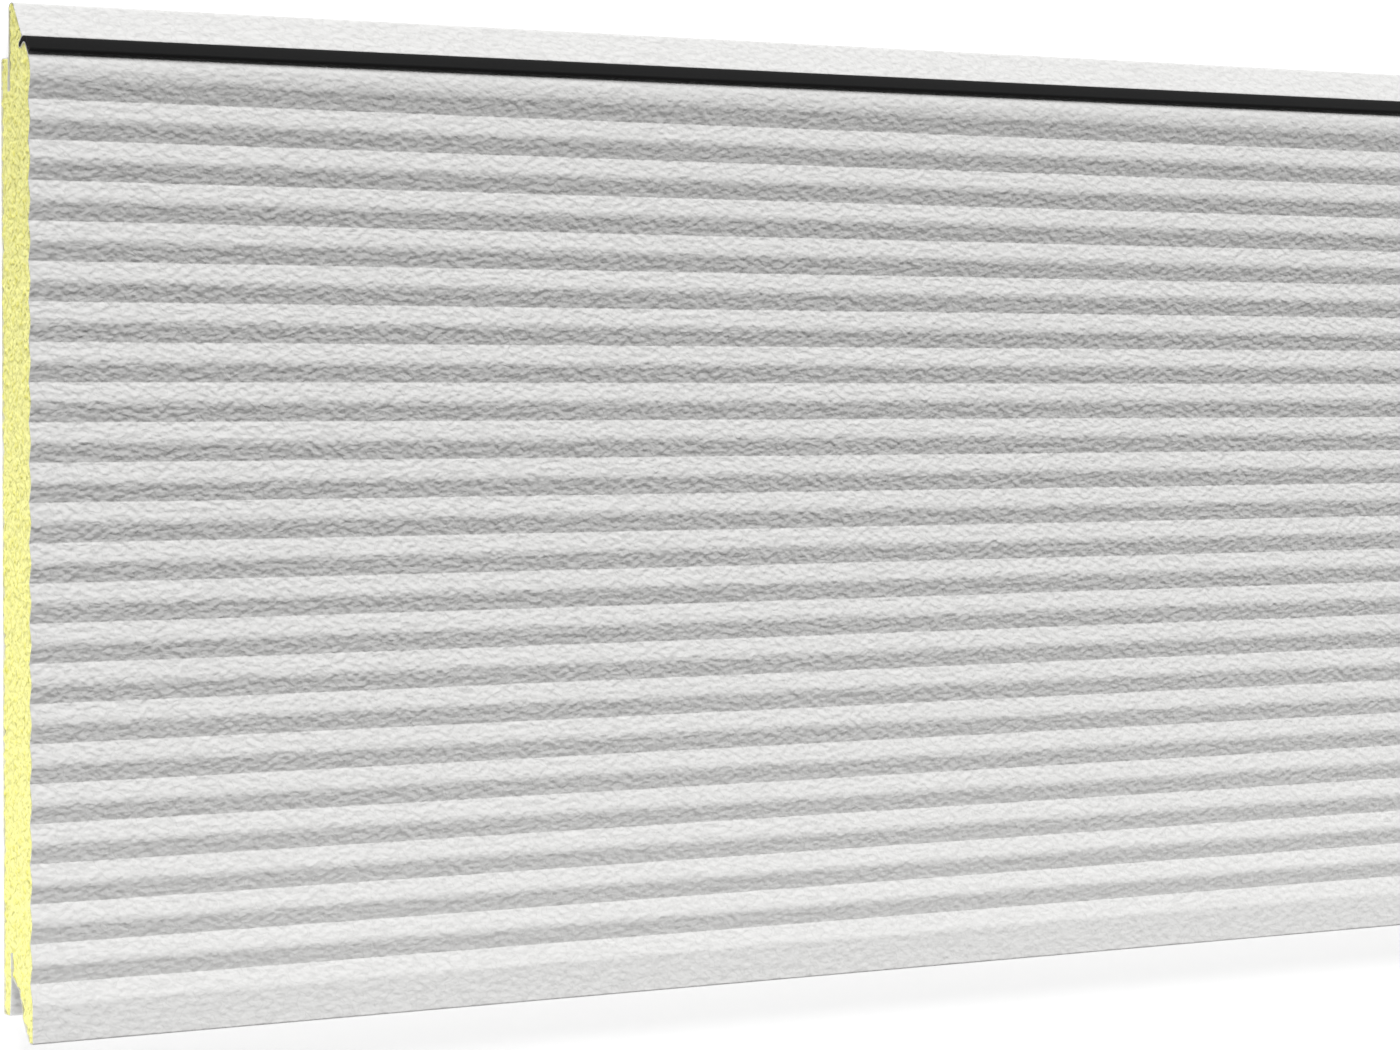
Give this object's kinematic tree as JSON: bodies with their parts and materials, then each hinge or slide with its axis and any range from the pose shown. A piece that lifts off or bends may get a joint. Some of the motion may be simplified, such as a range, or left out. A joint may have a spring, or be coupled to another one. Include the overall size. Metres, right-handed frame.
{
  "type": "insulated sandwich panel",
  "caption": "Foam-filled steel panel with a finely ribbed outer face, a tongue along one long edge, a matching groove along the other, and a rubber joint seal.",
  "frame": {"origin": "on the inner face's plane, in the middle of the panel's length and of its overall height over the tongue", "axes": "+X along the panel's length, +Y across the panel towards the tongue, +Z out of the ribbed outer face"},
  "size_m": [2.5, 0.519, 0.04],
  "materials": {
    "outer_steel": "off-white coil coating, satin, stucco embossed",
    "inner_steel": "off-white coil coating, satin, stucco embossed",
    "foam": "rigid polyurethane foam, sawn, fine open cells",
    "seal": "matte black"
  },
  "bodies": {
    "root": {"outer_skin": "outer_steel", "inner_skin": "inner_steel", "foam_core": "foam", "joint_seal": "seal"}
  },
  "joints": []
}
